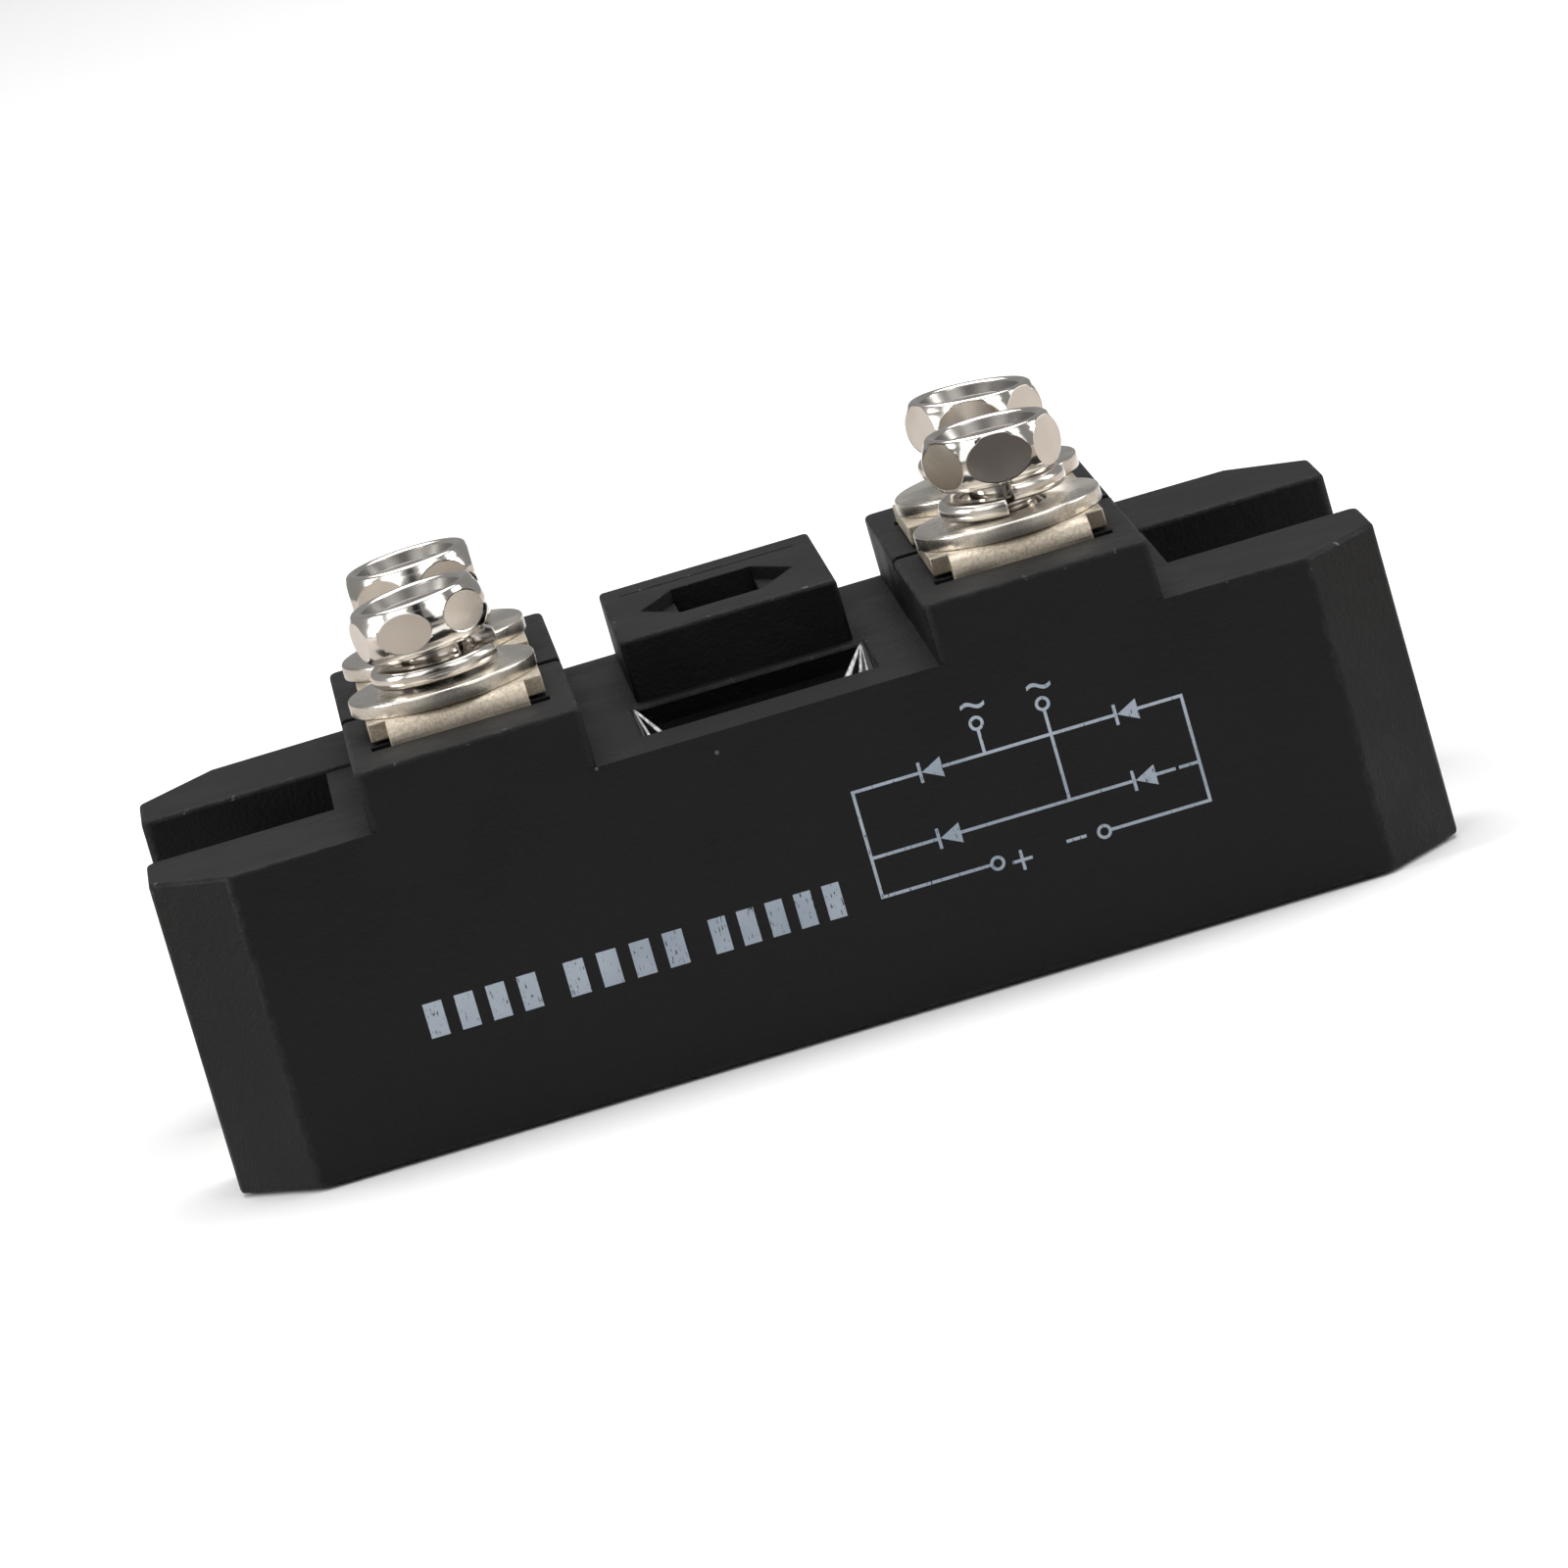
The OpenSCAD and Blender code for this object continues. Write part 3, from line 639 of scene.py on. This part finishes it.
def make_base_plate():
    """The plated plate that the case stands on."""
    bm = merged_copy("base_plate")
    round_edges(bm, PLATE_ROUND)
    piece(
        "plated_base", bm, FINISHES["plate"], ["base_plate"],
        broad_stay_flat=True,
    )


def make_terminal_strip(name):
    """A bent strip with the small rounding of its sheared edges."""
    bm = merged_copy("terminal_" + name)
    round_edges(bm, STRIP_ROUND)
    piece(
        "strip_" + name, bm, FINISHES["strip"], ["terminal_" + name],
        broad_stay_flat=True,
    )


def on_screw(number, height, share=1.0):
    """The place of something at a height in mm on a screw, with a share of its lean."""
    low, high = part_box(f"terminal_nut_{number}")
    lean = math.radians(SCREWS[number].lean)
    rise = height - low.z / MM
    off = Vector((math.sin(lean) * rise * MM, 0, height * MM))
    middle = (low + high) / 2
    turn = Matrix.Rotation(lean * share, 4, "Y")
    return Matrix.Translation(Vector((middle.x, middle.y, 0)) + off) @ turn


def make_flat_washer(number):
    """A punched washer: rolled over at its top rim, with a crisp lower one."""
    low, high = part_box(f"flat_washer_{number}")
    outer, thick = (high.x - low.x) / 2 / MM, (high.z - low.z) / MM
    lower, upper, hole = SHEARED_ROUND, PUNCHED_ROUND, HOLE_ROUND
    profile = [(HOLE_R, 0.05), (HOLE_R + 0.05, 0)]
    profile += arc((outer - lower, lower), lower, -90, 0, 3)
    profile += arc((outer - upper, thick - upper), upper, 0, 90, 5)
    profile += arc((HOLE_R + hole, thick - hole), hole, 90, 180, 3)
    profile += [profile[0]]
    bm = turned(profile, 96)
    move(bm, on_screw(number, low.z / MM, 0))
    piece(
        f"washer_{number}", bm, FINISHES["washer"], [f"flat_washer_{number}"],
        sharp=50,
    )


def make_spring_washer(number):
    """One turn of thick wire with a round outside, sprung open at its split."""
    low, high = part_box(f"spring_washer_{number}")
    wire = (high.z - low.z) / 2 / MM
    corner, hole = SPRING_CORNER, SPRING_HOLE_ROUND
    section = arc((SPRING_R - corner, corner), corner, -90, 0, 7)
    section += arc((SPRING_R - corner, wire - corner), corner, 0, 90, 7)
    section += arc((HOLE_R + hole, wire - hole), hole, 90, 180, 3)
    section += arc((HOLE_R + hole, hole), hole, 180, 270, 3)
    rise = wire - SCREWS[number].sunk
    bm = coil(section, 360 - SPLIT_ANGLE, -rise, 90)
    start = SCREWS[number].split + SPLIT_ANGLE / 2
    move(bm, Matrix.Rotation(math.radians(start), 4, "Z"))
    move(bm, Matrix.Translation((0, 0, rise * MM)))
    move(bm, on_screw(number, low.z / MM, 0.5))
    round_edges(bm, WIRE_ROUND)
    piece(
        f"split_washer_{number}", bm, FINISHES["spring"],
        [f"spring_washer_{number}"], sharp=40,
    )


def turned_head():
    """A barrel head with a dished top, its foot at zero."""
    core = HEAD_R - HEAD_ROUND
    start = math.degrees(math.asin(-HEAD_BELLY / HEAD_ROUND))
    top = math.degrees(math.asin((HEAD_H - RIM_ROUND - HEAD_BELLY) / HEAD_ROUND))
    profile = [(0, 0)] + arc((core, HEAD_BELLY), HEAD_ROUND, start, top, 24)
    rim = core + HEAD_ROUND * math.cos(math.radians(top)) - RIM_ROUND
    profile += arc((rim, HEAD_H - RIM_ROUND), RIM_ROUND, top, 150, 14)
    floor = HEAD_H - DISH_H
    profile += arc((DISH_FLOOR_R, floor + DISH_CORNER), DISH_CORNER, -25, -90, 5)
    profile += [(DISH_FLOOR_R - 0.05, floor), (0, floor)]
    return turned(profile, 120)


def flatten_sides(bm, flat_at):
    """Planes six flats on a head, each at a distance in mm from its middle."""
    for side in range(6):
        angle = math.radians(60 * side - 90)
        out = Vector((math.cos(angle), math.sin(angle), 0))
        cut = bmesh.ops.bisect_plane(
            bm, geom=bm.verts[:] + bm.edges[:] + bm.faces[:], dist=0.0001 * MM,
            plane_co=out * flat_at * MM, plane_no=out, clear_outer=True,
        )["geom_cut"]
        flat = bmesh.ops.edgeloop_fill(bm, edges=edges_in(cut))["faces"]
        bmesh.ops.inset_region(
            bm, faces=flat, thickness=FLAT_EDGE * MM, depth=-FLAT_SUNK * MM,
        )
    bmesh.ops.recalc_face_normals(bm, faces=bm.faces)


def cross_cutter():
    """Two crossed wedges, narrower at their foot."""
    bm = bmesh.new()
    for turn in (0, 90):
        made = bmesh.ops.create_cube(bm, size=1)["verts"]
        for vert in made:
            at_top = vert.co.z > 0
            span = CROSS_MOUTH if at_top else CROSS_FOOT
            arm = CROSS_ARM if at_top else CROSS_ARM * CROSS_TAPER
            height = HEAD_H if at_top else HEAD_H - CROSS_H
            vert.co = Vector((vert.co.x * span * MM, vert.co.y * arm * MM, height * MM))
        spin = Matrix.Rotation(math.radians(turn), 3, "Z")
        bmesh.ops.rotate(bm, verts=made, cent=(0, 0, 0), matrix=spin)
    return bm


def cut_away(body, cutter):
    """The body's mesh with the cutter's shape taken out, as a bmesh."""
    first = in_scene("body_to_cut", as_mesh("body_to_cut", body))
    second = in_scene("cutter", as_mesh("cutter", cutter))
    cut = first.modifiers.new("cut", "BOOLEAN")
    cut.operation, cut.object, cut.solver = "DIFFERENCE", second, "EXACT"
    cut.use_self = True
    bpy.context.view_layer.update()
    seen = bpy.context.evaluated_depsgraph_get()
    made = bpy.data.meshes.new_from_object(first.evaluated_get(seen))
    bm = bmesh.new()
    bm.from_mesh(made)
    for used in (first, second):
        bpy.data.objects.remove(used)
    bpy.data.meshes.remove(made)
    bmesh.ops.dissolve_degenerate(bm, dist=0.0005 * MM, edges=bm.edges)
    return bm


def screw_shank(length):
    """A core with a rolled thread, its tip at zero."""
    core, crest = SCREW_CORE_R, SCREW_R - THREAD_ROOT
    bm = turned([(0, 0), (core - TIP_ROUND, 0), (core, TIP_H), (core, length), (0, length)], 48)
    root = core - THREAD_ROOT
    ridge = [
        (root, -THREAD_FLANK), (crest, -THREAD_CREST), (crest, THREAD_CREST), (root, THREAD_FLANK),
    ]
    turns = math.floor((length - 2 * THREAD_FROM) / THREAD_PITCH)
    thread = coil(ridge, 360 * turns, THREAD_PITCH * turns, 40 * turns)
    move(thread, Matrix.Translation((0, 0, THREAD_FROM * MM)))
    take_in(bm, thread)
    return bm


def make_screws():
    """The four terminal screws, each as it was left when it was driven in."""
    plain_head = cut_away(turned_head(), cross_cutter())
    # Marks the dish faces, which the screw finish paints darker as painted shade.
    in_dish = plain_head.faces.layers.float.new("in_dish")
    for face in plain_head.faces:
        middle = face.calc_center_median() / MM
        if middle.z > HEAD_H - CROSS_H - 0.1 and middle.xy.length < DISH_FLOOR_R + 0.4:
            face[in_dish] = 1 if middle.xy.length < DISH_FLOOR_R + 0.1 else 0.75
    for number, left in SCREWS.items():
        head = plain_head.copy()
        flatten_sides(head, left.flat_at)
        node_name = f"terminal_screw_{number}"
        low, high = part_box(node_name)
        bm = screw_shank((high.z - low.z) / MM - HEAD_H - left.sunk + 0.05)
        move(bm, Matrix.Translation((0, 0, low.z - high.z + (HEAD_H + left.sunk) * MM)))
        take_in(bm, head)
        move(bm, Matrix.Rotation(math.radians(left.turn), 4, "Z"))
        move(bm, on_screw(number, high.z / MM - HEAD_H - left.sunk))
        piece(
            f"screw_{number}", bm, FINISHES["screw"], [node_name],
            broad_stay_flat=True,
        )
    plain_head.free()


# ------------------------------------------------------------------ print


def bar(bm, start, end, width=PRINT_LINE):
    """A printed line between two places on the front, in mm as (x, z)."""
    a, b = Vector(start), Vector(end)
    along = b - a
    made = bmesh.ops.create_grid(bm, x_segments=1, y_segments=1, size=0.5)["verts"]
    turn = Matrix.Rotation(math.atan2(along.y, along.x), 3, "Z")
    for vert in made:
        flat = Vector((vert.co.x * along.length, vert.co.y * width, 0))
        vert.co = turn @ flat + Vector(((a + b) / 2).to_3d())


def ring(bm, centre, diameter):
    """A printed circle, open in its middle."""
    place = Matrix.Translation(Vector((*centre, 0)))
    edges = {}
    for radius in (diameter / 2, diameter / 2 - PRINT_LINE):
        made = bmesh.ops.create_circle(bm, segments=40, radius=radius, matrix=place)["verts"]
        edges.update(dict.fromkeys(e for v in made for e in v.link_edges))
    bmesh.ops.bridge_loops(bm, edges=list(edges))


def diode(bm, x, z):
    """A bar and a filled triangle that points at it, the triangle to the right."""
    half, tip = DIODE_SIZE / 2, x + PRINT_LINE / 2
    bar(bm, (x, z - half), (x, z + half))
    corners = [(tip, z), (tip + DIODE_SIZE, z - half), (tip + DIODE_SIZE, z + half)]
    bm.faces.new([bm.verts.new((*c, 0)) for c in corners])


def tilde(bm, x, z):
    """The wave sign of an alternating-current terminal."""
    made = bmesh.ops.create_grid(bm, x_segments=16, y_segments=1, size=0.5)["verts"]
    for vert in made:
        wave = vert.co.y * TILDE_LINE - TILDE_WAVE * math.sin(math.tau * vert.co.x)
        vert.co = Vector((x + vert.co.x * TILDE_L, z + wave, 0))


def print_on_front(name, bm):
    """Gives flat print its thickness and puts it on the front of the case."""
    bmesh.ops.recalc_face_normals(bm, faces=bm.faces)
    raised = bmesh.ops.extrude_face_region(bm, geom=bm.faces[:])["geom"]
    bmesh.ops.translate(bm, vec=(0, 0, PRINT_T), verts=verts_in(raised))
    bmesh.ops.recalc_face_normals(bm, faces=bm.faces)
    move(bm, Matrix.Scale(MM, 4))
    move(bm, Matrix.Rotation(math.radians(90), 4, "X"))
    move(bm, Matrix.Translation((0, -CASE_W / 2 * MM, 0)))
    piece(name, bm, FINISHES["print"], sharp=30)


def make_circuit_print():
    """The usual four-diode bridge, drawn with plain lines and common signs."""
    bm = bmesh.new()
    left, right, top, lower, foot = 3.7, 25.05, 14.75, 10.4, 7.85
    ac_1, ac_2, source_z, circle = 12.3, 16.6, 16.75, 0.95
    plus_x, minus_x, plus_z, minus_z = 11.2, 18.15, 7.6, 7.92
    diode_1, diode_2, break_x, break_l = 8.1, 20.8, 23.5, 0.22
    sign_x, sign_arm, sign_gap = 12.75, 0.65, 1.15
    half = PRINT_LINE / 2
    bar(bm, (left, foot - half), (left, top + half))
    bar(bm, (right, foot - half), (right, top + half))
    for z in (top, lower):
        bar(bm, (left + half, z), (diode_1 - half, z))
        bar(bm, (diode_1 + half + DIODE_SIZE, z), (diode_2 - half, z))
        bar(bm, (diode_2 + half + DIODE_SIZE, z), (break_x, z))
        bar(bm, (break_x + (break_l if z == lower else 0), z), (right - half, z))
        diode(bm, diode_1, z)
        diode(bm, diode_2, z)
    bar(bm, (left + half, foot), (plus_x - circle / 2, foot))
    bar(bm, (minus_x + circle / 2, foot), (right - half, foot))
    bar(bm, (ac_1, top + half), (ac_1, source_z - circle / 2))
    bar(bm, (ac_2, top + half), (ac_2, source_z - circle / 2))
    bar(bm, (ac_2, lower + half), (ac_2, top - half))
    for x, z in ((ac_1, source_z), (ac_2, source_z), (plus_x, foot), (minus_x, foot)):
        ring(bm, (x, z), circle)
    tilde(bm, ac_1 + half / 2, source_z + sign_gap)
    tilde(bm, ac_2 + half / 2, source_z + sign_gap)
    bar(bm, (sign_x - sign_arm, plus_z), (sign_x + sign_arm, plus_z))
    bar(bm, (sign_x, plus_z + half), (sign_x, plus_z + sign_arm))
    bar(bm, (sign_x, plus_z - sign_arm), (sign_x, plus_z - half))
    minus_end = minus_x - sign_gap
    bar(bm, (minus_end - 2 * sign_arm, minus_z), (minus_end, minus_z))
    print_on_front("circuit_print", bm)


def make_bar_print():
    """Three groups of plain bars in the row under the circuit's left side."""
    bm = bmesh.new()
    middle, height, share = 8.5, 2.25, 0.6
    for start, end, count in ((-25.7, -18.4, 4), (-16.6, -8.9, 4), (-7.2, 1.3, 5)):
        pitch = (end - start) / (count - 1 + share)
        for place in range(count):
            x = start + pitch * (place + share / 2)
            bar(bm, (x, middle - height / 2), (x, middle + height / 2), pitch * share)
    print_on_front("bar_print", bm)


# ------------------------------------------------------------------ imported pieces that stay

KEPT_NODES = {
    "tile_backing": "copper", "ceramic_tile": "ceramic", "silicone_gel": "gel",
    "potting_resin": "resin", "bridge_ac_1": "copper", "bridge_ac_2": "copper",
    **{f"pad_{name}": "copper" for name in TERMINALS},
    **{f"diode_chip_{number}": "silicon" for number in range(1, 5)},
    **{f"terminal_nut_{number}": "washer" for number in range(1, 5)},
}


def dress_kept_nodes():
    """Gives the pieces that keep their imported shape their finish."""
    for name, finish in KEPT_NODES.items():
        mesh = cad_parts[name].data
        mesh.materials.clear()
        mesh.materials.append(FINISHES[finish])


# ------------------------------------------------------------------ stage

# The camera's direction and roll in degrees, its place and its lens in mm.
VIEW_AZIMUTH, VIEW_HEIGHT, VIEW_ROLL = -1.985, 10.621, -16.156
VIEW_DISTANCE, VIEW_RIGHT, VIEW_DOWN = 630.769, 3.055, 12.183
VIEW_LENS = 224.64


def make_camera():
    """A long lens a little above the case, rolled so that the case climbs to the right."""
    azimuth, height, roll = (math.radians(a) for a in (VIEW_AZIMUTH, VIEW_HEIGHT, VIEW_ROLL))
    out = math.cos(height)
    back = Vector((math.sin(azimuth) * out, -math.cos(azimuth) * out, math.sin(height)))
    right = (-back).cross(Vector((0, 0, 1))).normalized()
    up = right.cross(-back)
    spin = Matrix.Rotation(roll, 3, back)
    right, up = spin @ right, spin @ up
    place = (back * VIEW_DISTANCE - right * VIEW_RIGHT + up * VIEW_DOWN) * MM
    data = bpy.data.cameras.new("camera")
    data.lens, data.sensor_width = VIEW_LENS, 36
    data.clip_start, data.clip_end = 0.01, 20
    camera = in_scene("camera", data)
    turn = Matrix((right, up, back)).transposed().to_4x4()
    camera.matrix_world = Matrix.Translation(place) @ turn
    bpy.context.scene.camera = camera


def plain_surface(name, colour):
    """A matt finish for the floor and the cards."""
    made = bpy.data.materials.new(name)
    made.use_nodes = True
    shader = made.node_tree.nodes["Principled BSDF"].inputs
    shader["Base Color"].default_value = colour
    shader["Roughness"].default_value = 0.9
    shader["Specular IOR Level"].default_value = 0.2
    return made


def make_floor():
    """A wide pale floor just under the part."""
    bm = bmesh.new()
    bmesh.ops.create_grid(bm, x_segments=1, y_segments=1, size=4)
    mesh = as_mesh("floor", bm)
    mesh.materials.append(plain_surface("pale_floor", grey(0.92)))
    floor = in_scene("floor", mesh)
    floor.location.z = -0.02 * MM


def make_softbox(name, place, width, height, power):
    """A soft light, in metres and watts, that faces the middle of the part."""
    data = bpy.data.lights.new(name, "AREA")
    data.shape, data.size, data.size_y = "RECTANGLE", width, height
    data.energy = power
    light = in_scene(name, data)
    towards = Vector((0, 0, 0.02)) - Vector(place)
    turn = towards.to_track_quat("-Z", "Y").to_matrix().to_4x4()
    light.matrix_world = Matrix.Translation(place) @ turn


def make_card(name, place, width, height, colour, tilt=0):
    """A card, in metres and degrees, that only shows in the part's reflections."""
    bm = bmesh.new()
    bmesh.ops.create_grid(bm, x_segments=1, y_segments=1, size=0.5)
    move(bm, Matrix.Diagonal((width, height, 1, 1)))
    mesh = as_mesh(name, bm)
    mesh.materials.append(plain_surface(name, colour))
    card = in_scene(name, mesh)
    card.location = place
    card.rotation_euler.x = math.radians(tilt)
    card.visible_camera = card.visible_diffuse = card.visible_shadow = False


def make_lights():
    """Even white light all round, five softboxes and the cards that the metal shows."""
    world = bpy.data.worlds.new("studio")
    world.use_nodes = True
    background = world.node_tree.nodes["Background"].inputs
    background["Color"].default_value = grey(1)
    background["Strength"].default_value = 0.3
    bpy.context.scene.world = world
    make_softbox("overhead", (0.05, 0.3, 1.2), 1.4, 1.0, 14)
    make_softbox("front_left", (-0.75, -0.85, 0.75), 0.8, 1.1, 4.2)
    make_softbox("front_right", (0.75, -0.85, 0.75), 0.8, 1.1, 4.2)
    make_softbox("left_side", (-0.9, -0.1, 0.35), 0.35, 0.5, 4.1)
    make_softbox("right_side", (0.95, 0.1, 0.4), 0.3, 0.5, 3.5)
    make_card("grey_table", (0, -0.8, 0.0005), 1.6, 1.3, (0.36, 0.34, 0.32, 1))
    make_card("left_table", (-0.375, 0.2, 0.0006), 0.65, 0.7, (0.55, 0.51, 0.48, 1))
    make_card("left_front_table", (-0.2, -0.09, 0.0008), 0.26, 0.14, (0.4, 0.36, 0.31, 1))
    make_card("right_front_table", (0.2, -0.07, 0.0008), 0.26, 0.18, (0.38, 0.33, 0.27, 1))
    make_card("right_table", (0.4, 0.2, 0.0006), 0.6, 0.7, (0.56, 0.51, 0.47, 1))
    make_card("dark_table", (0, -0.45, 0.001), 0.14, 0.7, (0.075, 0.066, 0.062, 1))
    make_card("dark_front", (0, -1.4, 0.3), 1.6, 0.5, grey(0.02), 90)
    make_card("dark_gap", (0, -1.45, 0.9), 0.4, 1.6, grey(0.02), 90)


# ------------------------------------------------------------------ all of it

make_case()
make_resin_surface()
make_glinting_folds()
make_base_plate()
for terminal in TERMINALS:
    make_terminal_strip(terminal)
for number in range(1, 5):
    make_flat_washer(number)
    make_spring_washer(number)
make_screws()
make_circuit_print()
make_bar_print()
dress_kept_nodes()

make_camera()
make_floor()
make_lights()
bpy.context.scene.view_settings.view_transform = "Standard"
